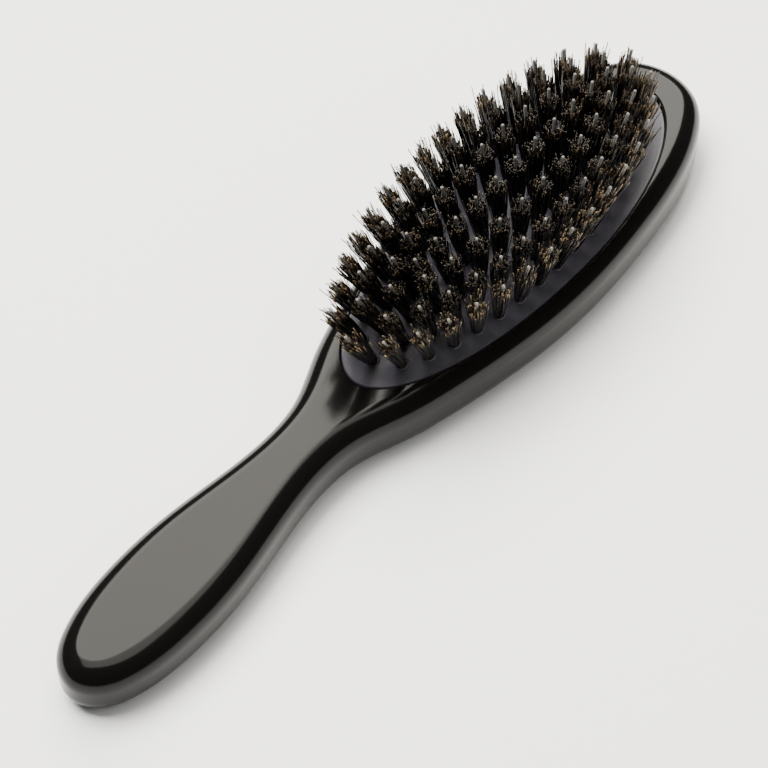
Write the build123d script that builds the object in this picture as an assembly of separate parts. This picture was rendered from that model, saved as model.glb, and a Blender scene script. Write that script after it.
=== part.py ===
from build123d import *
import math
import os

os.makedirs("parts", exist_ok=True)

# ---------------------------------------------------------------------------
# Paddle brush lying on its back: handle toward -X, toe toward +X, bristles up.
# Origin: middle of the length, on the rest face of the back. Millimetres.
# ---------------------------------------------------------------------------

# wooden body
grip_length = 76.0        # handle end to the narrowest place
head_length = 149.0       # narrowest place to the toe
head_width = 50.4         # widest place of the head
grip_width = 25.8         # widest place of the grip
neck_width = 16.8         # narrowest place
end_thickness = 14.0      # at the handle end
toe_thickness = 16.5      # at the toe
top_round = 5.4           # edge rounding on the bristle side
back_round = 5.5          # edge rounding on the back

# pocket in the head and the air space under the cushion
lip = 4.2                 # wood beside the cushion, at the widest place
toe_lip = 11.0            # wood in front of the cushion
heel_lip = 21.5           # from the narrowest place to the cushion
widest_share = 0.55       # where along each oval the widest place lies
floor_thickness = 9.0     # wood left under the air space
seat_gap = 0.1            # rubber to wood, all round
groove_depth = 1.0        # groove beyond the pocket wall
groove_gap = 0.2          # groove above and below the bead

# rubber cushion
rim_drop = 0.6            # cushion edge below the wood's top at the middle of the head
rim_height = 1.9
rim_wall = 1.6            # rubber thickness of the rim
skin = 1.5                # rubber thickness of the dome
dome_height = 3.9         # rise of the dome above its edge
bead_out = 0.7            # bead beyond the rim
bead_height = 1.1
bead_lift = 0.3           # bead above the underside of the rim
spine_half = 0.8          # half width of the flat top of the dome
spine_over = 4.5          # the flat top runs this far past the centre row
vent_diameter = 2.0       # air hole between two tufts of the centre row

# tufts: a bundle of bristle around one longer pin, held by a plug
tuft_pitch = 6.8          # along each ring
row_pitch = 7.0           # along the centre row
tuft_length = 17.0        # above the rubber
tuft_base = 2.6           # bundle diameter at the rubber
tuft_tip = 4.2            # bundle diameter at the tips
tuft_bore = 1.5           # room for the pin
tuft_lift = 0.9           # bundle starts this far above the rubber, on its plug
pin_length = 19.9         # above the rubber
pin_diameter = 0.8
plug_shank = 2.1          # plug through the rubber
plug_flange = 3.0         # plug head behind the rubber
plug_flange_thickness = 0.9
hole_gap = 0.35           # rubber to plug shank
behind_gap = 1.1          # plug head to the underside of the rubber

# how the tufts fan out: slope = distance / fan
fan_across = 54.0
fan_along = 120.0
fan_from_toe = 54.5       # from the toe, where tufts stand upright along the length

# margins from the cushion edge to the outermost ring, and to the ends of the centre row
side_margin = 4.8
heel_margin = 6.2
toe_margin = 13.5
row_heel_margin = 28.5
row_toe_margin = 28.0

# rings from the outside in. Shares: of the outermost half width, of the way in from the
# outermost ring to the centre row at the heel and at the toe, and of the dome height
rings = {
    "ring_3": (1.000, 0.00, 0.00, 0.48),
    "ring_2": (0.735, 0.30, 0.26, 0.78),
    "ring_1": (0.395, 0.64, 0.62, 0.96),
}

# derived places
length = grip_length + head_length
toe_x = length / 2
end_x = -length / 2
neck_x = end_x + grip_length
cushion_heel = neck_x + heel_lip
cushion_toe = toe_x - toe_lip
cushion_half = head_width / 2 - lip
cushion_middle = (cushion_heel + cushion_toe) / 2
rise = (toe_thickness - end_thickness) / length
rim_z = end_thickness + rise * (cushion_middle - end_x) - rim_drop
rim_bottom = rim_z - rim_height
bead_bottom = rim_bottom + bead_lift
row_heel = cushion_heel + row_heel_margin
row_toe = cushion_toe - row_toe_margin


# ---------------------------------------------------------------------------
# wooden body
# ---------------------------------------------------------------------------
def half_outline():
    """Points of one side, from the handle end to the toe."""
    grip = grip_width / 2
    neck = neck_width / 2
    head = head_width / 2
    grip_shape = [(0.038, 0.49), (0.13, 0.80), (0.33, 1.00), (0.59, 0.95)]
    head_shape = [
        (0.16, 0.575), (0.242, 0.72), (0.329, 0.84), (0.43, 0.945), (0.564, 1.00),
        (0.698, 0.962), (0.832, 0.845), (0.92, 0.665), (0.973, 0.445),
    ]
    side = [(end_x, 0.0)]
    side += [(end_x + along * grip_length, wide * grip) for along, wide in grip_shape]
    side += [(neck_x - 0.17 * grip_length, 1.13 * neck), (neck_x, neck)]
    side += [(neck_x + 0.067 * head_length, 1.12 * neck)]
    side += [(neck_x + along * head_length, wide * head) for along, wide in head_shape]
    return side + [(toe_x, 0.0)]


def body_outline():
    left = half_outline()
    right = [(x, -y) for x, y in reversed(left[1:-1])]
    return make_face(Spline(*left, *right, periodic=True))


def oval(heel, toe, half, z, grow=0.0):
    """Egg-shaped face: two half ellipses that meet at the widest place."""
    x0 = heel - grow
    x1 = toe + grow
    width = half + grow
    middle = x0 + widest_share * (x1 - x0)
    toe_side = EllipticalCenterArc((middle, 0), x1 - middle, width, -90, arc_size=180)
    heel_side = EllipticalCenterArc((middle, 0), middle - x0, width, 90, arc_size=180)
    return Pos(0, 0, z) * make_face([toe_side, heel_side])


def cushion_oval(z, grow=0.0):
    return oval(cushion_heel, cushion_toe, cushion_half, z, grow)


def prism(face, height):
    return extrude(face, amount=height, dir=(0, 0, 1))


def make_body():
    """Blank with a gently rising top, rounded edges, a pocket and a groove."""
    over = 10.0
    blank = prism(body_outline(), toe_thickness + over)
    lid = Polyline(
        (end_x - over, end_thickness - rise * over),
        (toe_x + over, toe_thickness + rise * over),
        (toe_x + over, toe_thickness + 3 * over),
        (end_x - over, toe_thickness + 3 * over),
        close=True,
    )
    blank = blank - extrude(Plane.XZ * make_face(lid), amount=head_width, both=True)
    blank = fillet(blank.faces().sort_by(Axis.Z)[-1].edges(), top_round)
    blank = fillet(blank.faces().sort_by(Axis.Z)[0].edges(), back_round)
    pocket = prism(cushion_oval(floor_thickness, seat_gap), toe_thickness)
    groove = prism(
        cushion_oval(bead_bottom - groove_gap, seat_gap + groove_depth),
        bead_height + 2 * groove_gap,
    )
    return blank - pocket - groove


# ---------------------------------------------------------------------------
# tuft places
# ---------------------------------------------------------------------------
def ring_size(name):
    """Heel end, toe end and half width of one ring."""
    wide, heel_in, toe_in, share = rings[name]
    outer_heel = cushion_heel + heel_margin
    outer_toe = cushion_toe - toe_margin
    heel = outer_heel + heel_in * (row_heel - outer_heel)
    toe = outer_toe - toe_in * (outer_toe - row_toe)
    return heel, toe, wide * (cushion_half - side_margin)


def ring_places(name):
    """Equal steps along the oval; every second ring starts half a step on."""
    heel, toe, half = ring_size(name)
    middle = heel + widest_share * (toe - heel)
    steps = 1440
    path = []
    for i in range(steps + 1):
        turn = math.pi + 2 * math.pi * i / steps
        reach = toe - middle if math.cos(turn) > 0 else middle - heel
        path.append((middle + reach * math.cos(turn), half * math.sin(turn)))
    travelled = [0.0]
    for a, b in zip(path, path[1:]):
        travelled.append(travelled[-1] + math.dist(a, b))
    count = 2 * round(travelled[-1] / tuft_pitch / 2)
    first = 0.5 if name == "ring_2" else 0.0
    places = []
    for n in range(count):
        goal = (n + first) / count * travelled[-1]
        i = next(k for k, d in enumerate(travelled) if d >= goal)
        places.append(path[i])
    return places


def row_places():
    """The centre row, one line from heel to toe."""
    gaps = round((row_toe - row_heel) / row_pitch)
    step = (row_toe - row_heel) / gaps
    return [(row_heel + n * step, 0.0) for n in range(gaps + 1)]


def stand(x, y, z):
    """Frame on the rubber with its Z along the tuft."""
    lean = Vector((x - toe_x + fan_from_toe) / fan_along, y / fan_across, 1)
    return Plane(origin=(x, y, z), z_dir=lean).location


spots = {"centre": [stand(x, y, rim_z + dome_height) for x, y in row_places()]}
for name in rings:
    z = rim_z + rings[name][3] * dome_height
    spots[name] = [stand(x, y, z) for x, y in ring_places(name)]


# ---------------------------------------------------------------------------
# cushion
# ---------------------------------------------------------------------------
def dome(edge, drop):
    """Loft through the rings' ovals, from the edge face to the flat top."""
    sections = [edge]
    for name in rings:
        sections.append(oval(*ring_size(name), rim_z + rings[name][3] * dome_height - drop))
    top = rim_z + dome_height - drop
    sections.append(oval(row_heel - spine_over, row_toe + spine_over, spine_half, top))
    return loft(sections)


def make_cushion():
    """Rubber shell, hollow below, with a bead round the rim and a hole for each plug."""
    rim = prism(cushion_oval(rim_bottom), rim_height)
    bead = prism(cushion_oval(bead_bottom, bead_out), bead_height)
    solid = rim + bead + dome(cushion_oval(rim_z), 0.0)
    air = prism(cushion_oval(rim_bottom - skin, -rim_wall), rim_height)
    solid = solid - (air + dome(cushion_oval(rim_z - skin, -rim_wall), skin))
    punch = Cylinder(plug_shank / 2 + hole_gap, 4 * skin)
    holes = [spot * punch for name in spots for spot in spots[name]]
    row = spots["centre"]
    between = (row[-1].position + row[-2].position) / 2
    holes.append(Pos(between) * Cylinder(vent_diameter / 2, 4 * skin))
    return solid - holes


# ---------------------------------------------------------------------------
# one tuft, one pin, one plug; each stands on the rubber with Z along the tuft
# ---------------------------------------------------------------------------
def turned(points):
    """Solid of revolution from its half section in XZ."""
    return revolve(Plane.XZ * make_face(Polyline(*points, close=True)), Axis.Z)


def make_tuft():
    base = tuft_base / 2
    tip = tuft_tip / 2
    inner = tuft_bore / 2
    return turned([
        (inner, tuft_lift),
        (base, tuft_lift),
        (base + 0.25 * (tip - base), 0.5 * tuft_length),
        (tip, tuft_length - 1.2),
        (0.6 * tip, tuft_length),
        (inner, tuft_length),
    ])


def make_pin():
    r = pin_diameter / 2
    foot = (Align.CENTER, Align.CENTER, Align.MIN)
    shaft = Pos(0, 0, tuft_lift) * Cylinder(r, pin_length - r - tuft_lift, align=foot)
    return shaft + Pos(0, 0, pin_length - r) * Sphere(r)


def make_plug():
    under = -skin - behind_gap
    low = under - plug_flange_thickness
    return turned([
        (0, low),
        (plug_flange / 2 - 0.3, low),
        (plug_flange / 2, low + 0.3),
        (plug_flange / 2, under),
        (plug_shank / 2, under),
        (plug_shank / 2, tuft_lift),
        (0, tuft_lift),
    ])


def save(shape, name, tint):
    shape.color = Color(*tint)
    shape.label = name
    export_step(shape, "parts/" + name + ".step")


save(make_body(), "handle_body", (0.02, 0.02, 0.02))
save(make_cushion(), "cushion_pad", (0.05, 0.05, 0.055))

tuft = make_tuft()
pin = make_pin()
plug = make_plug()
for name in spots:
    save(Compound([spot * tuft for spot in spots[name]]), "tufts_" + name, (0.12, 0.08, 0.05))
    save(Compound([spot * pin for spot in spots[name]]), "pins_" + name, (0.6, 0.6, 0.58))
    save(Compound([spot * plug for spot in spots[name]]), "plugs_" + name, (0.5, 0.5, 0.48))
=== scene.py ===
import math

import bmesh
import bpy
import numpy as np
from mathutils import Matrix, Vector
from mathutils.geometry import delaunay_2d_cdt


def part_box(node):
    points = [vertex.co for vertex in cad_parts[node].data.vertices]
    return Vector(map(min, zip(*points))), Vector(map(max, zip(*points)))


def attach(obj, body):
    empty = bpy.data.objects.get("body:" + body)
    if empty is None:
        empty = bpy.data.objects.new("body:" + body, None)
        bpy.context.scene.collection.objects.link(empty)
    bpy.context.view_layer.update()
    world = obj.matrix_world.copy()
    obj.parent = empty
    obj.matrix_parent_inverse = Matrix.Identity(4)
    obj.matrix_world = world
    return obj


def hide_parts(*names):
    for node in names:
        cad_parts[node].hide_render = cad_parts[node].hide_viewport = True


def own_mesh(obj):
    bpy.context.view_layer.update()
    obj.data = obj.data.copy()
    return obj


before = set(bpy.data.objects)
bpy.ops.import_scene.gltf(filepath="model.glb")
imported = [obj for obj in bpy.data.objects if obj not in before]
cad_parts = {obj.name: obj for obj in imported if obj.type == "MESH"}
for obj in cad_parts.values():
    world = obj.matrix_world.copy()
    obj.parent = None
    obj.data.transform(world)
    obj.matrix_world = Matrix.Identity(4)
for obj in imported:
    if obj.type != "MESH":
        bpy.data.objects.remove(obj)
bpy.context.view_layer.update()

MM = 0.001

# lacquered body: the same outline, edge roundings and pocket as the CAD body
LENGTH = 225.0 * MM
GRIP_LENGTH = 76.0 * MM
HEAD_LENGTH = 149.0 * MM
GRIP_WIDTH = 25.8 * MM
NECK_WIDTH = 16.8 * MM
HEAD_WIDTH = 50.4 * MM
END_THICKNESS = 14.0 * MM
TOE_THICKNESS = 16.5 * MM
TOP_ROUND = 5.4 * MM
BACK_ROUND = 5.5 * MM
POCKET_FLOOR = 9.0 * MM
SEAT_GAP = 0.1 * MM
POCKET_ROUND = 0.5 * MM       # rounding of the pocket's rim
GRIP_SHAPE = ((0.038, 0.49), (0.13, 0.80), (0.33, 1.00), (0.59, 0.95))
HEAD_SHAPE = (
    (0.16, 0.575), (0.242, 0.72), (0.329, 0.84), (0.43, 0.945), (0.564, 1.00),
    (0.698, 0.962), (0.832, 0.845), (0.92, 0.665), (0.973, 0.445),
)
STATIONS = 720                # points round the outline
POCKET_STATIONS = 360         # points round the pocket
EDGE_STEPS = 12               # steps over the edge rounding on the bristle side
RIM_STEPS = 4                 # steps over the pocket rim
BACK_STEPS = 10               # steps over the edge rounding on the back

# rubber cushion
BEAD = 0.7 * MM               # CAD bead beyond the rim
RUBBER_DOME = 3.9 * MM
WIDEST_SHARE = 0.55           # where along each oval the widest place lies
RIM_DEPTH = 1.9 * MM
DOME_OVERLAP = 0.45 * MM      # the dome starts this far inside the rubber's edge
SPINE_HALF = 0.8 * MM         # half width of the dome's flat top
SPINE_OVER = 4.0 * MM         # the flat top runs this far past the centre row
DOME_STEPS = 6                # loops from one ring of tufts to the next
TURNS = 200                   # points round the rubber

# tufts
TUFT_LIFT = 0.9 * MM          # CAD bundles start this far above the rubber
ROOT_DEPTH = 0.4 * MM         # hairs start this far below the rubber
HAIRS = 140                   # hairs in one bundle
HAIR_WIDTH = 0.25 * MM
BUNDLE_ROOT = 1.3 * MM        # radius of a bundle at the rubber
BUNDLE_TIP = 2.35 * MM        # and at its tips
PIN_ROOM = 0.30               # share of the bundle radius left free for the pin
WHISKER_REACH = 0.10          # share of its height that a whisker stands past the rest
OUTER_WHISKER_REACH = 0.18    # and in the outermost ring
PALEST = 0.36                 # palest tip: 0 is cream, 1 is brown
OUTER_PALEST_WITH_PAINTED_BACKLIGHT = 0.12           # and in the outermost ring, paler still: real blond tips plus a painted backlight glow
COLLAR = (1.34 * MM, 0.42 * MM)  # ring of rubber raised round each tuft: radius, thickness

RINGS = ("ring_3", "ring_2", "ring_1", "centre")

# camera and light
CAMERA_PLACE = (-0.308876, -0.234185, 0.480931)
CAMERA_ELEVATION = 51.148
CAMERA_HEADING = 52.418
LENS = 124.34
SENSOR = 36.0


# ---------------------------------------------------------------------------
# small helpers
# ---------------------------------------------------------------------------
def linear(code, alpha=1.0):
    """sRGB hex such as '1A1A1A' as linear red, green, blue, alpha."""
    out = []
    for i in (0, 2, 4):
        value = int(code[i:i + 2], 16) / 255
        out.append(value / 12.92 if value <= 0.04045 else ((value + 0.055) / 1.055) ** 2.4)
    return (*out, alpha)


def put(tree, kind, feeds=None, **settings):
    """Adds a node, sets its settings, and fills or links its inputs."""
    node = tree.nodes.new(kind)
    for name, value in settings.items():
        setattr(node, name, value)
    for socket, value in (feeds or {}).items():
        if isinstance(value, bpy.types.NodeSocket):
            tree.links.new(value, node.inputs[socket])
        else:
            node.inputs[socket].default_value = value
    return node


def material(name):
    """An empty node material: its tree and its shader."""
    made = bpy.data.materials.new(name)
    made.use_nodes = True
    tree = made.node_tree
    tree.nodes.clear()
    shader = put(tree, "ShaderNodeBsdfPrincipled")
    put(tree, "ShaderNodeOutputMaterial", {"Surface": shader.outputs["BSDF"]})
    return made, tree, shader


def mesh_object(name, points, faces, smooth=True):
    mesh = bpy.data.meshes.new(name)
    mesh.from_pydata([tuple(p) for p in points], [], faces)
    mesh.validate()
    if smooth:
        mesh.shade_smooth()
    piece = bpy.data.objects.new(name, mesh)
    bpy.context.scene.collection.objects.link(piece)
    return piece


# ---------------------------------------------------------------------------
# materials
# ---------------------------------------------------------------------------
def black_lacquer():
    """Polished black lacquer on beech: a deep, mirror-like coat with the faint waviness
    that hand polishing leaves, a few centimetres from crest to crest."""
    made, tree, shader = material("black_polished_lacquer")
    place = put(tree, "ShaderNodeTexCoord")
    wave = put(tree, "ShaderNodeTexNoise", {
        "Vector": place.outputs["Object"], "Scale": 90.0, "Detail": 1.0, "Roughness": 0.4})
    peel = put(tree, "ShaderNodeTexNoise", {
        "Vector": place.outputs["Object"], "Scale": 900.0, "Detail": 2.0})
    both = put(tree, "ShaderNodeMath", {
        0: peel.outputs["Fac"], 1: 0.12, 2: wave.outputs["Fac"]}, operation="MULTIPLY_ADD")
    bump = put(tree, "ShaderNodeBump", {
        "Height": both.outputs[0], "Strength": 0.04, "Distance": 0.2 * MM})
    rub = put(tree, "ShaderNodeTexNoise", {
        "Vector": place.outputs["Object"], "Scale": 60.0, "Detail": 4.0})
    gloss = put(tree, "ShaderNodeMapRange", {
        "Value": rub.outputs["Fac"], "To Min": 0.13, "To Max": 0.18})
    shader.inputs["Base Color"].default_value = linear("0A0908")
    shader.inputs["IOR"].default_value = 1.5
    shader.inputs["Specular IOR Level"].default_value = 0.18
    tree.links.new(gloss.outputs["Result"], shader.inputs["Roughness"])
    tree.links.new(bump.outputs["Normal"], shader.inputs["Normal"])
    return made


def black_rubber():
    """Moulded natural rubber: dark grey, satin, with a fine powdery unevenness."""
    made, tree, shader = material("black_moulded_rubber")
    place = put(tree, "ShaderNodeTexCoord")
    grain = put(tree, "ShaderNodeTexNoise", {
        "Vector": place.outputs["Object"], "Scale": 2600.0, "Detail": 3.0})
    cloud = put(tree, "ShaderNodeTexNoise", {
        "Vector": place.outputs["Object"], "Scale": 140.0, "Detail": 3.0})
    tone = put(tree, "ShaderNodeMix", {
        "Factor": cloud.outputs["Fac"], "A": linear("2B292E"), "B": linear("3B393F")},
        data_type="RGBA")
    bump = put(tree, "ShaderNodeBump", {
        "Height": grain.outputs["Fac"], "Strength": 0.25, "Distance": 0.05 * MM})
    tree.links.new(tone.outputs["Result"], shader.inputs["Base Color"])
    tree.links.new(bump.outputs["Normal"], shader.inputs["Normal"])
    shader.inputs["Roughness"].default_value = 0.42
    return made


def boar_bristle():
    """Natural boar bristle: near black at the root, split and blond at the tip,
    and each hair a little different."""
    made, tree, shader = material("natural_boar_bristle")
    along = put(tree, "ShaderNodeAttribute", attribute_name="along")
    shade = put(tree, "ShaderNodeAttribute", attribute_name="shade")
    turn = put(tree, "ShaderNodeMapRange", {
        "Value": shade.outputs["Fac"], "To Min": 0.76, "To Max": 1.22})
    past = put(tree, "ShaderNodeMath", {
        0: along.outputs["Fac"], 1: turn.outputs["Result"]}, operation="SUBTRACT")
    tip = put(tree, "ShaderNodeMapRange", {
        "Value": past.outputs[0], "From Min": -0.08, "From Max": 0.16})
    root = put(tree, "ShaderNodeMix", {
        "Factor": shade.outputs["Fac"], "A": linear("0A0807"), "B": linear("15100D")},
        data_type="RGBA")
    blond = put(tree, "ShaderNodeMix", {
        "Factor": shade.outputs["Fac"], "A": linear("A68F6C"), "B": linear("4C3A2A")},
        data_type="RGBA")
    hair = put(tree, "ShaderNodeMix", {
        "Factor": tip.outputs["Result"], "A": root.outputs["Result"],
        "B": blond.outputs["Result"]}, data_type="RGBA")
    tree.links.new(hair.outputs["Result"], shader.inputs["Base Color"])
    shader.inputs["Roughness"].default_value = 0.38
    return made


def smoky_nylon():
    """Extruded nylon rod: cloudy, greyish and slightly see-through, glossy at the tip."""
    made, tree, shader = material("smoky_nylon")
    place = put(tree, "ShaderNodeTexCoord")
    cloud = put(tree, "ShaderNodeTexNoise", {
        "Vector": place.outputs["Object"], "Scale": 500.0, "Detail": 2.0})
    tone = put(tree, "ShaderNodeMix", {
        "Factor": cloud.outputs["Fac"], "A": linear("5C5A57"), "B": linear("7A7873")},
        data_type="RGBA")
    tree.links.new(tone.outputs["Result"], shader.inputs["Base Color"])
    shader.inputs["Roughness"].default_value = 0.2
    shader.inputs["IOR"].default_value = 1.53
    return made


def plug_plastic():
    """Moulded black nylon of the plugs behind the rubber."""
    made, tree, shader = material("black_moulded_nylon")
    place = put(tree, "ShaderNodeTexCoord")
    cloud = put(tree, "ShaderNodeTexNoise", {"Vector": place.outputs["Object"], "Scale": 400.0})
    tone = put(tree, "ShaderNodeMix", {
        "Factor": cloud.outputs["Fac"], "A": linear("131313"), "B": linear("1E1E1E")},
        data_type="RGBA")
    tree.links.new(tone.outputs["Result"], shader.inputs["Base Color"])
    shader.inputs["Roughness"].default_value = 0.5
    return made


LACQUER = black_lacquer()
RUBBER = black_rubber()
BRISTLE = boar_bristle()
NYLON = smoky_nylon()
PLUG = plug_plastic()


# ---------------------------------------------------------------------------
# where the tufts stand, read from the CAD bundles
# ---------------------------------------------------------------------------
def separate_solids(node):
    """The points of each solid of a CAD node."""
    mesh = bmesh.new()
    mesh.from_mesh(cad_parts[node].data)
    bmesh.ops.remove_doubles(mesh, verts=mesh.verts, dist=1e-6)
    seen = set()
    solids = []
    for start in mesh.verts:
        if start in seen:
            continue
        seen.add(start)
        todo = [start]
        points = []
        while todo:
            vert = todo.pop()
            points.append(tuple(vert.co))
            for edge in vert.link_edges:
                other = edge.other_vert(vert)
                if other not in seen:
                    seen.add(other)
                    todo.append(other)
        solids.append(np.array(points))
    mesh.free()
    return solids


def end_points(points):
    """Middle of the lower and of the upper end of a long round solid."""
    middle = points.mean(axis=0)
    axis = np.linalg.svd(points - middle)[2][0]
    axis = axis if axis[2] > 0 else -axis
    along = (points - middle) @ axis
    slack = 0.02 * (along.max() - along.min())
    low = points[along < along.min() + slack].mean(axis=0)
    high = points[along > along.max() - slack].mean(axis=0)
    return low, high


def tufts_of(ring):
    """(place on the rubber, unit direction, length above the rubber) of every tuft."""
    found = []
    for points in separate_solids("tufts_" + ring):
        low, high = end_points(points)
        lean = (high - low) / np.linalg.norm(high - low)
        root = low - lean * TUFT_LIFT
        found.append((root, lean, float(np.linalg.norm(high - root))))
    return sorted(found, key=lambda tuft: (round(tuft[0][0], 5), round(tuft[0][1], 5)))


TUFTS = {ring: tufts_of(ring) for ring in RINGS}


# ---------------------------------------------------------------------------
# bristles
# ---------------------------------------------------------------------------
def bristle_tree():
    """Each point becomes a bundle of hairs that splay from a round root to a wider tip."""
    tree = bpy.data.node_groups.new("bristle_bundle", "GeometryNodeTree")
    tree.interface.new_socket("Geometry", in_out="INPUT", socket_type="NodeSocketGeometry")
    sizes = {
        "Hairs": HAIRS, "Hair width": HAIR_WIDTH, "Root radius": BUNDLE_ROOT,
        "Tip radius": BUNDLE_TIP, "Free core": PIN_ROOM, "Whisker reach": WHISKER_REACH,
        "Palest": PALEST, "Seed": 1,
    }
    for name, value in sizes.items():
        kind = "NodeSocketInt" if isinstance(value, int) else "NodeSocketFloat"
        socket = tree.interface.new_socket(name, in_out="INPUT", socket_type=kind)
        socket.default_value = value
    tree.interface.new_socket("Geometry", in_out="OUTPUT", socket_type="NodeSocketGeometry")
    given = put(tree, "NodeGroupInput").outputs

    # one hair: one unit tall, three sides, bowed, thinner to the tip
    bow = put(tree, "GeometryNodeCurveQuadraticBezier", {
        "Resolution": 4, "Start": (0, 0, 0), "Middle": (0.45 * MM, 0, 0.6),
        "End": (-0.15 * MM, 0, 1.0)})
    share = put(tree, "GeometryNodeSplineParameter")
    taper = put(tree, "ShaderNodeMapRange", {
        "Value": share.outputs["Factor"], "To Min": 1.0, "To Max": 0.42})
    thin = put(tree, "GeometryNodeSetCurveRadius", {
        "Curve": bow.outputs["Curve"], "Radius": taper.outputs["Result"]})
    marked = put(tree, "GeometryNodeStoreNamedAttribute", {
        "Geometry": thin.outputs["Curve"], "Name": "along", "Value": share.outputs["Factor"]},
        data_type="FLOAT", domain="POINT")
    half = put(tree, "ShaderNodeMath", {0: given["Hair width"], 1: 0.5}, operation="MULTIPLY")
    ring = put(tree, "GeometryNodeCurvePrimitiveCircle", {
        "Resolution": 3, "Radius": half.outputs[0]})
    hair = put(tree, "GeometryNodeCurveToMesh", {
        "Curve": marked.outputs["Geometry"], "Profile Curve": ring.outputs["Curve"],
        "Fill Caps": True})

    # the hairs' places in the bundle
    points = put(tree, "GeometryNodeMeshToPoints", {"Mesh": given["Geometry"]})
    many = put(tree, "GeometryNodeDuplicateElements", {
        "Geometry": points.outputs["Points"], "Amount": given["Hairs"]}, domain="POINT")
    lean = put(tree, "GeometryNodeInputNamedAttribute", {"Name": "lean"},
               data_type="FLOAT_VECTOR")
    tall = put(tree, "GeometryNodeInputNamedAttribute", {"Name": "tall"}, data_type="FLOAT")

    core = put(tree, "ShaderNodeMath", {0: given["Free core"], 1: 2.0}, operation="POWER")
    draw = put(tree, "FunctionNodeRandomValue", {"Seed": given["Seed"]}, data_type="FLOAT")
    spread = put(tree, "ShaderNodeMapRange", {
        "Value": draw.outputs[1], "To Min": core.outputs[0], "To Max": 1.0})
    radial = put(tree, "ShaderNodeMath", {0: spread.outputs["Result"]}, operation="SQRT")
    second = put(tree, "FunctionNodeHashValue", {"Value": given["Seed"], "Seed": 2},
                 data_type="INT")
    turn = put(tree, "FunctionNodeRandomValue", {
        "Max": 2 * math.pi, "Seed": second.outputs["Hash"]}, data_type="FLOAT")
    cosine = put(tree, "ShaderNodeMath", {0: turn.outputs[1]}, operation="COSINE")
    sine = put(tree, "ShaderNodeMath", {0: turn.outputs[1]}, operation="SINE")
    side_x = put(tree, "ShaderNodeMath", {0: radial.outputs[0], 1: cosine.outputs[0]},
                 operation="MULTIPLY")
    side_y = put(tree, "ShaderNodeMath", {0: radial.outputs[0], 1: sine.outputs[0]},
                 operation="MULTIPLY")
    disc = put(tree, "ShaderNodeCombineXYZ", {"X": side_x.outputs[0], "Y": side_y.outputs[0]})
    upright = put(tree, "FunctionNodeAlignRotationToVector", {
        "Vector": lean.outputs["Attribute"]}, axis="Z")
    across = put(tree, "FunctionNodeRotateVector", {
        "Vector": disc.outputs["Vector"], "Rotation": upright.outputs["Rotation"]})

    # a few whiskers reach past the rest and stray further
    third = put(tree, "FunctionNodeHashValue", {"Value": given["Seed"], "Seed": 3},
                data_type="INT")
    luck = put(tree, "FunctionNodeRandomValue", {"Seed": third.outputs["Hash"]},
               data_type="FLOAT")
    whisker = put(tree, "ShaderNodeMapRange", {
        "Value": luck.outputs[1], "From Min": 0.80, "From Max": 1.0})
    stray = put(tree, "FunctionNodeRandomValue", {
        "Min": (-1.0, -1.0, -0.3), "Max": (1.0, 1.0, 0.3), "Seed": 5},
        data_type="FLOAT_VECTOR")
    astray = put(tree, "ShaderNodeMapRange", {
        "Value": whisker.outputs["Result"], "To Min": 0.24, "To Max": 0.62})
    bent = put(tree, "ShaderNodeVectorMath", {
        0: stray.outputs[0], "Scale": astray.outputs["Result"]}, operation="SCALE")
    tip_place = put(tree, "ShaderNodeVectorMath", {
        0: across.outputs["Vector"], 1: bent.outputs["Vector"]}, operation="ADD")
    tip_across = put(tree, "ShaderNodeVectorMath", {
        0: tip_place.outputs["Vector"], "Scale": given["Tip radius"]}, operation="SCALE")
    root_across = put(tree, "ShaderNodeVectorMath", {
        0: across.outputs["Vector"], "Scale": given["Root radius"]}, operation="SCALE")
    splay = put(tree, "ShaderNodeVectorMath", {
        0: tip_across.outputs["Vector"], 1: root_across.outputs["Vector"]},
        operation="SUBTRACT")

    # hairs end at uneven heights
    fourth = put(tree, "FunctionNodeHashValue", {"Value": given["Seed"], "Seed": 4},
                 data_type="INT")
    uneven = put(tree, "FunctionNodeRandomValue", {"Seed": fourth.outputs["Hash"]},
                 data_type="FLOAT")
    bowed = put(tree, "ShaderNodeMath", {0: uneven.outputs[1], 1: 2.0}, operation="POWER")
    trimmed = put(tree, "ShaderNodeMath", {
        0: bowed.outputs[0], 1: -0.24, 2: 1.02}, operation="MULTIPLY_ADD")
    reach = put(tree, "ShaderNodeMath", {
        0: whisker.outputs["Result"], 1: given["Whisker reach"], 2: trimmed.outputs[0]},
        operation="MULTIPLY_ADD")
    height = put(tree, "ShaderNodeMath", {
        0: reach.outputs[0], 1: tall.outputs["Attribute"]}, operation="MULTIPLY")
    rise = put(tree, "ShaderNodeVectorMath", {
        0: lean.outputs["Attribute"], "Scale": tall.outputs["Attribute"]}, operation="SCALE")
    line = put(tree, "ShaderNodeVectorMath", {
        0: rise.outputs["Vector"], 1: splay.outputs["Vector"]}, operation="ADD")
    aim = put(tree, "FunctionNodeAlignRotationToVector", {
        "Vector": line.outputs["Vector"]}, axis="Z")
    placed = put(tree, "GeometryNodeSetPosition", {
        "Geometry": many.outputs["Geometry"], "Offset": root_across.outputs["Vector"]})
    scale = put(tree, "ShaderNodeCombineXYZ", {
        "X": 1.0, "Y": 1.0, "Z": height.outputs[0]})
    hairs = put(tree, "GeometryNodeInstanceOnPoints", {
        "Points": placed.outputs["Geometry"], "Instance": hair.outputs["Mesh"],
        "Rotation": aim.outputs["Rotation"], "Scale": scale.outputs["Vector"]})
    fifth = put(tree, "FunctionNodeHashValue", {"Value": given["Seed"], "Seed": 6},
                data_type="INT")
    spin = put(tree, "FunctionNodeRandomValue", {
        "Max": 2 * math.pi, "Seed": fifth.outputs["Hash"]}, data_type="FLOAT")
    roll = put(tree, "ShaderNodeCombineXYZ", {"Z": spin.outputs[1]})
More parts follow.
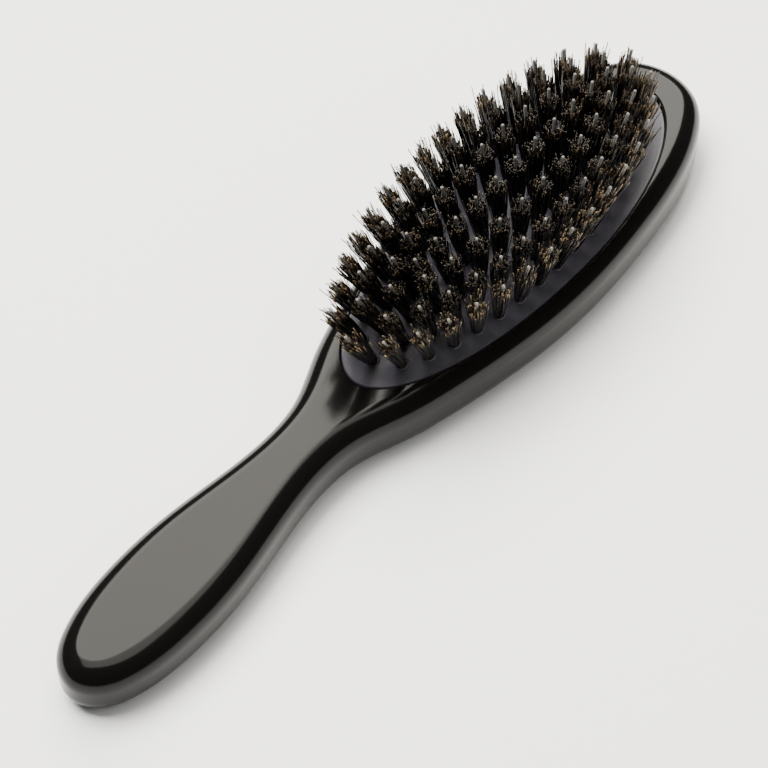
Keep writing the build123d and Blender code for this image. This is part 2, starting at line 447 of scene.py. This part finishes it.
    rolled = put(tree, "GeometryNodeRotateInstances", {
        "Instances": hairs.outputs["Instances"], "Rotation": roll.outputs["Vector"],
        "Local Space": True})
    sixth = put(tree, "FunctionNodeHashValue", {"Value": given["Seed"], "Seed": 7},
                data_type="INT")
    tone = put(tree, "FunctionNodeRandomValue", {
        "Min": given["Palest"], "Seed": sixth.outputs["Hash"]}, data_type="FLOAT")
    toned = put(tree, "GeometryNodeStoreNamedAttribute", {
        "Geometry": rolled.outputs["Instances"], "Name": "shade",
        "Value": tone.outputs[1]}, data_type="FLOAT", domain="INSTANCE")
    real = put(tree, "GeometryNodeRealizeInstances", {"Geometry": toned.outputs["Geometry"]})
    soft = put(tree, "GeometryNodeSetShadeSmooth", {"Geometry": real.outputs["Geometry"]})
    done = put(tree, "GeometryNodeSetMaterial", {
        "Geometry": soft.outputs["Geometry"], "Material": BRISTLE})
    put(tree, "NodeGroupOutput", {"Geometry": done.outputs["Geometry"]})
    return tree


def as_plain_mesh(piece, name):
    """The piece's evaluated shape as a new object without modifiers."""
    graph = bpy.context.evaluated_depsgraph_get()
    mesh = bpy.data.meshes.new_from_object(piece.evaluated_get(graph))
    plain = bpy.data.objects.new(name, mesh)
    bpy.context.scene.collection.objects.link(plain)
    bpy.data.objects.remove(piece)
    return plain


def bristles(ring, tree, seed):
    tufts = TUFTS[ring]
    roots = mesh_object("roots_" + ring, [r - d * ROOT_DEPTH for r, d, t in tufts], [], False)
    lean = roots.data.attributes.new("lean", "FLOAT_VECTOR", "POINT")
    lean.data.foreach_set("vector", np.array([d for r, d, t in tufts]).ravel())
    tall = roots.data.attributes.new("tall", "FLOAT", "POINT")
    tall.data.foreach_set("value", np.array([t + ROOT_DEPTH for r, d, t in tufts]))
    grow = roots.modifiers.new("bundles", "NODES")
    grow.node_group = tree
    inputs = {item.name: item.identifier for item in tree.interface.items_tree
              if item.in_out == "INPUT"}
    grow[inputs["Seed"]] = seed
    if ring == "ring_3":
        grow[inputs["Whisker reach"]] = OUTER_WHISKER_REACH
        # paler tips in the outermost ring: painted glow of backlit tips on top of their real blond
        # colour
        grow[inputs["Palest"]] = OUTER_PALEST_WITH_PAINTED_BACKLIGHT
    piece = as_plain_mesh(roots, "bristles_" + ring)
    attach(piece, "group_" + ring)
    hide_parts("tufts_" + ring)
    return piece


TREE = bristle_tree()
for number, ring in enumerate(RINGS):
    bristles(ring, TREE, 100 * (number + 1))


# ---------------------------------------------------------------------------
# rubber cushion
# ---------------------------------------------------------------------------
def egg(heel, toe, half, turns, grow=0.0):
    """Points of the egg-shaped oval, counted from the heel."""
    heel, toe, half = heel - grow, toe + grow, half + grow
    middle = heel + WIDEST_SHARE * (toe - heel)
    out = []
    for i in range(turns):
        a = math.pi + 2 * math.pi * i / turns
        reach = toe - middle if math.cos(a) > 0 else middle - heel
        out.append((middle + reach * math.cos(a), half * math.sin(a)))
    return np.array(out)


def strips(levels, turns):
    """Quads between closed loops of equal length, lowest loop first."""
    faces = []
    for k in range(levels - 1):
        for i in range(turns):
            a, b = k * turns + i, k * turns + (i + 1) % turns
            faces.append((a, b, b + turns, a + turns))
    return faces


PAD_LOW, PAD_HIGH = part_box("cushion_pad")
PAD = (PAD_LOW[0] + BEAD, PAD_HIGH[0] - BEAD, PAD_HIGH[1] - BEAD)
RIM_Z = PAD_HIGH[2] - RUBBER_DOME


def between_rings(heights, at):
    """Height at a place between the rings, on a smooth curve through all of them."""
    k = min(int(at), len(heights) - 2)
    t = at - k
    before, after = heights[max(k - 1, 0)], heights[min(k + 2, len(heights) - 1)]
    low, high = heights[k], heights[k + 1]
    return 0.5 * (2 * low + (high - before) * t
                  + (2 * before - 5 * low + 4 * high - after) * t * t
                  + (3 * low - before - 3 * high + after) * t ** 3)


def rubber_dome():
    """The part that gives: it bulges through the roots of all tufts."""
    roots = {ring: np.array([r for r, d, t in TUFTS[ring]]) for ring in RINGS}
    ovals = [egg(*PAD, TURNS, -DOME_OVERLAP)]
    heights = [RIM_Z]
    for ring in RINGS[:-1]:
        at = roots[ring]
        ovals.append(egg(at[:, 0].min(), at[:, 0].max(), at[:, 1].max(), TURNS))
        heights.append(at[:, 2].mean())
    row = roots["centre"]
    ovals.append(egg(row[:, 0].min() - SPINE_OVER, row[:, 0].max() + SPINE_OVER, SPINE_HALF,
                     TURNS))
    heights.append(PAD_HIGH[2])
    points = []
    for k in range(len(ovals) - 1):
        for step in range(DOME_STEPS):
            t = step / DOME_STEPS
            flat = (1 - t) * ovals[k] + t * ovals[k + 1]
            points += [(x, y, between_rings(heights, k + t)) for x, y in flat]
    points += [(x, y, heights[-1]) for x, y in ovals[-1]]
    levels = DOME_STEPS * (len(ovals) - 1) + 1
    last = (levels - 1) * TURNS
    faces = strips(levels, TURNS) + [tuple(last + i for i in range(TURNS))]
    piece = mesh_object("rubber_dome", points, faces)
    piece.data.materials.append(RUBBER)
    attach(piece, "handle")
    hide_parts("cushion_pad")
    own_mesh(piece)


def rubber_rim():
    """The moulded edge that sits still in the groove of the wood."""
    section = [(-2.2, -0.9), (-2.2, -0.28), (-1.2, -0.10), (-0.75, 0.0), (-0.45, 0.06),
               (-0.2, 0.02), (-0.05, -0.12), (0.0, -0.35), (0.0, -RIM_DEPTH / MM)]
    section = section[::-1]
    points = []
    for out, up in section:
        points += [(x, y, RIM_Z + up * MM) for x, y in egg(*PAD, TURNS, out * MM)]
    piece = mesh_object("rubber_rim", points, strips(len(section), TURNS))
    piece.data.materials.append(RUBBER)
    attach(piece, "handle")
    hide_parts("cushion_pad")


def rubber_collars(ring):
    """The rubber puckers up into a small ring round the foot of each tuft."""
    radius, thick = COLLAR
    around, section = 20, 6
    points, faces = [], []
    for root, lean, tall in TUFTS[ring]:
        axis = Vector(lean)
        turn = Vector((0, 0, 1)).rotation_difference(axis)
        start = len(points)
        for i in range(around):
            a = 2 * math.pi * i / around
            for j in range(section):
                b = 2 * math.pi * j / section
                out = radius + thick * math.cos(b)
                spot = Vector((out * math.cos(a), out * math.sin(a), 0.8 * thick * math.sin(b)))
                points.append(Vector(root) + turn @ spot)
        for i in range(around):
            for j in range(section):
                k, m = (i + 1) % around, (j + 1) % section
                faces.append((start + i * section + j, start + k * section + j,
                              start + k * section + m, start + i * section + m))
    piece = mesh_object("collars_" + ring, points, faces)
    piece.data.materials.append(RUBBER)
    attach(piece, "group_" + ring)


rubber_dome()
rubber_rim()
for ring in RINGS:
    rubber_collars(ring)


# ---------------------------------------------------------------------------
# lacquered body
# ---------------------------------------------------------------------------
def outline():
    """Smooth closed curve through the CAD outline's points: places and outward normals."""
    end = -LENGTH / 2
    neck_x = end + GRIP_LENGTH
    grip, neck, head = GRIP_WIDTH / 2, NECK_WIDTH / 2, HEAD_WIDTH / 2
    side = [(end, 0.0)] + [(end + a * GRIP_LENGTH, w * grip) for a, w in GRIP_SHAPE]
    side += [(neck_x - 0.17 * GRIP_LENGTH, 1.13 * neck), (neck_x, neck),
             (neck_x + 0.067 * HEAD_LENGTH, 1.12 * neck)]
    side += [(neck_x + a * HEAD_LENGTH, w * head) for a, w in HEAD_SHAPE] + [(-end, 0.0)]
    knots = np.array(side + [(x, -y) for x, y in reversed(side[1:-1])])[::-1]
    count = len(knots)
    gaps = np.linalg.norm(np.roll(knots, -1, axis=0) - knots, axis=1)
    rows = np.zeros((count, count))
    right = np.zeros((count, 2))
    for i in range(count):
        h0, h1 = gaps[i - 1], gaps[i]
        rows[i, i - 1] += h0
        rows[i, i] += 2 * (h0 + h1)
        rows[i, (i + 1) % count] += h1
        right[i] = 6 * ((knots[(i + 1) % count] - knots[i]) / h1 - (knots[i] - knots[i - 1]) / h0)
    bend = np.linalg.solve(rows, right)
    starts = np.concatenate([[0.0], np.cumsum(gaps)])
    places, normals = [], []
    for d in np.linspace(0, starts[-1], STATIONS, endpoint=False):
        i = int(np.searchsorted(starts, d, side="right")) - 1
        j, h = (i + 1) % count, gaps[i]
        b = (d - starts[i]) / h
        a = 1 - b
        places.append(a * knots[i] + b * knots[j]
                      + ((a ** 3 - a) * bend[i] + (b ** 3 - b) * bend[j]) * h * h / 6)
        along = (knots[j] - knots[i]) / h + h / 6 * (
            (3 * b * b - 1) * bend[j] - (3 * a * a - 1) * bend[i])
        normals.append(np.array((along[1], -along[0])) / np.linalg.norm(along))
    places, normals = np.array(places), np.array(normals)
    if (normals * places)[np.argmax(places[:, 0])][0] < 0:
        normals = -normals
    return places, normals


def lacquered_body():
    """Head, neck and grip in one: a dead flat, gently rising top with soft edges, a rounded
    pocket rim, and a flat back that the brush lies on."""
    edge, out = outline()
    rise = (TOE_THICKNESS - END_THICKNESS) / LENGTH
    places, normals, heights = [], [], []

    def top_z(spots):
        return END_THICKNESS + rise * (spots[:, 0] + LENGTH / 2)

    def add(spots, z, normal):
        first = len(places)
        places.extend(map(tuple, spots))
        heights.extend(z)
        normals.extend(map(tuple, normal))
        return first

    def tilted(flat, up):
        return np.column_stack([flat, np.full(len(flat), up)])

    # pocket oval: is a place inside it, and how far is it from the outline
    pad = (PAD[0] - SEAT_GAP, PAD[1] + SEAT_GAP, PAD[2] + SEAT_GAP)
    middle = pad[0] + WIDEST_SHARE * (pad[1] - pad[0])

    def in_pocket(spots, grow):
        reach = np.where(spots[:, 0] > middle, pad[1] - middle, middle - pad[0]) + grow
        return ((spots[:, 0] - middle) / reach) ** 2 + (spots[:, 1] / (pad[2] + grow)) ** 2 < 1

    # top: loops over the edge rounding, then loops round the pocket
    for step in range(EDGE_STEPS + 1):
        turn = math.pi / 2 * step / EDGE_STEPS
        spots = edge - out * TOP_ROUND * (1 - math.cos(turn))
        z = top_z(spots) - TOP_ROUND * (1 - math.sin(turn))
        add(spots, z, tilted(out * math.cos(turn), math.sin(turn)))
    keep = ~in_pocket(np.array(places), POCKET_ROUND + 0.25 * MM)
    keep[:STATIONS] = True
    rim_loops = []
    for step in range(RIM_STEPS + 1):
        turn = math.pi / 2 * step / RIM_STEPS
        grow = POCKET_ROUND * (1 - math.cos(turn))
        spots = egg(*pad, POCKET_STATIONS, grow)
        apart = np.linalg.norm(spots[:, None, :] - edge[None, :, :], axis=2)
        near = apart.argmin(axis=1)
        inset = np.clip(TOP_ROUND - apart.min(axis=1), 0, None)
        z = (top_z(spots) - (TOP_ROUND - np.sqrt(TOP_ROUND ** 2 - inset ** 2))
             - POCKET_ROUND * (1 - math.sin(turn)))
        inward = np.column_stack([(spots[:, 0] - middle)
                                  / np.where(spots[:, 0] > middle, pad[1] - middle,
                                             middle - pad[0]) ** 2,
                                  spots[:, 1] / pad[2] ** 2])
        inward = -inward / np.linalg.norm(inward, axis=1)[:, None]
        slope = inset / np.sqrt(TOP_ROUND ** 2 - inset ** 2)
        normal = (tilted(inward * math.cos(turn), math.sin(turn))
                  + math.sin(turn) * np.column_stack([out[near] * slope[:, None],
                                                      np.zeros(len(spots))]))
        normal /= np.linalg.norm(normal, axis=1)[:, None]
        rim_loops.append(add(spots, z, normal))
    used = [i for i in range(len(places)) if i >= rim_loops[0] or keep[i]]
    lookup = {old: new for new, old in enumerate(used)}
    flat = [Vector(places[i]) for i in used]
    border = [(lookup[i], lookup[(i + 1) % STATIONS]) for i in range(STATIONS)]
    wall = rim_loops[0]
    border += [(lookup[wall + i], lookup[wall + (i + 1) % POCKET_STATIONS])
               for i in range(POCKET_STATIONS)]
    points, edges, triangles, origins, *rest = delaunay_2d_cdt(flat, border, [], 0, 1e-7)
    faces = []
    for corners in triangles:
        centre = sum((Vector(points[c]) for c in corners), Vector((0, 0))) / len(corners)
        spot = np.array([centre])
        near = int(np.linalg.norm(edge - spot, axis=1).argmin())
        outside = float(np.dot(spot[0] - edge[near], out[near])) > 0
        if not outside and not in_pocket(spot, 0.0)[0]:
            faces.append(tuple(used[origins[c][0]] for c in corners))

    # side, back rounding and back; pocket wall and floor
    last = 0    # the outermost loop of the top
    for step in range(BACK_STEPS + 1):
        turn = math.pi / 2 * step / BACK_STEPS
        spots = edge - out * BACK_ROUND * (1 - math.cos(turn))
        z = np.full(STATIONS, BACK_ROUND * (1 - math.sin(turn)))
        new = add(spots, z, tilted(out * math.cos(turn), -math.sin(turn)))
        faces += [(new + i, new + (i + 1) % STATIONS, last + (i + 1) % STATIONS, last + i)
                  for i in range(STATIONS)]
        last = new
    faces.append(tuple(last + i for i in reversed(range(STATIONS))))
    around = POCKET_STATIONS
    low = add(egg(*pad, around), np.full(around, POCKET_FLOOR),
              np.array([normals[wall + i] for i in range(around)]))
    faces += [(low + i, wall + i, wall + (i + 1) % around, low + (i + 1) % around)
              for i in range(around)]
    faces.append(tuple(low + i for i in range(around)))
    alive = sorted({c for face in faces for c in face})
    renumber = {old: new for new, old in enumerate(alive)}
    piece = mesh_object("lacquered_body", [(*places[i], heights[i]) for i in alive],
                        [tuple(renumber[c] for c in face) for face in faces])
    whole = bmesh.new()
    whole.from_mesh(piece.data)
    bmesh.ops.recalc_face_normals(whole, faces=whole.faces)
    whole.to_mesh(piece.data)
    whole.free()
    piece.data.shade_smooth()
    piece.data.normals_split_custom_set_from_vertices([normals[i] for i in alive])
    piece.data.materials.append(LACQUER)
    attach(piece, "handle")
    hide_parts("handle_body")


lacquered_body()


# ---------------------------------------------------------------------------
# CAD pieces that show as they are
# ---------------------------------------------------------------------------
def finish_node(node, made):
    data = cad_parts[node].data
    data.materials.clear()
    data.materials.append(made)


for ring in RINGS:
    finish_node("plugs_" + ring, PLUG)
    finish_node("pins_" + ring, NYLON)


# ---------------------------------------------------------------------------
# floor, light and camera
# ---------------------------------------------------------------------------
def floor():
    made, tree, shader = material("white_paper_floor")
    shader.inputs["Base Color"].default_value = linear("F4F3F1")
    shader.inputs["Roughness"].default_value = 0.7
    shader.inputs["Specular IOR Level"].default_value = 0.2
    size = 3.0    # metres from the middle to each side
    sheet = mesh_object("floor", [(-size, -size, 0), (size, -size, 0), (size, size, 0),
                                  (-size, size, 0)], [(0, 1, 2, 3)], False)
    sheet.data.materials.append(made)


def softbox(name, place, aim, width, height, watts, tint="FFFFFF", in_gloss=True):
    """A rectangular lamp, seen in the lacquer or not. Metres and watts."""
    light = bpy.data.lights.new(name, "AREA")
    light.shape = "RECTANGLE"
    light.size = width
    light.size_y = height
    light.energy = watts
    light.color = linear(tint)[:3]
    lamp = bpy.data.objects.new(name, light)
    lamp.location = place
    lamp.rotation_euler = (Vector(aim) - Vector(place)).to_track_quat("-Z", "Y").to_euler()
    lamp.visible_glossy = in_gloss
    bpy.context.scene.collection.objects.link(lamp)


floor()
depth = Vector((math.sin(math.radians(CAMERA_HEADING)), math.cos(math.radians(CAMERA_HEADING)), 0))
right = Vector((depth.y, -depth.x, 0))
up = Vector((0, 0, 1))
softbox("back_softbox", depth * 1.1 + up * 1.25, (0, 0, 0.1), width=1.3, height=0.95, watts=46,
        tint="FFFBF2")
softbox("lip_light", depth * 0.2 + up * 1.3, (0, 0, 0), width=1.0, height=0.8, watts=12,
        tint="FFFBF2")
softbox("top_fill", depth * 0.2 - right * 0.5 + up * 1.2, (0, 0, 0), width=0.8, height=0.8,
        watts=44, in_gloss=False)
softbox("near_fill", right * 0.9 - depth * 0.5 + up * 1.2, (0, 0, 0), width=1.2, height=1.2,
        watts=9, in_gloss=False)

world = bpy.data.worlds.new("studio")
world.use_nodes = True
world.node_tree.nodes["Background"].inputs["Color"].default_value = (1, 1, 1, 1)
world.node_tree.nodes["Background"].inputs["Strength"].default_value = 0.07
bpy.context.scene.world = world

lens = bpy.data.cameras.new("camera")
lens.lens = LENS
lens.sensor_width = SENSOR
lens.clip_start = 0.01
lens.clip_end = 20
camera = bpy.data.objects.new("camera", lens)
camera.location = CAMERA_PLACE
camera.rotation_euler = (math.radians(90 - CAMERA_ELEVATION), 0, -math.radians(CAMERA_HEADING))
bpy.context.scene.collection.objects.link(camera)
bpy.context.scene.camera = camera
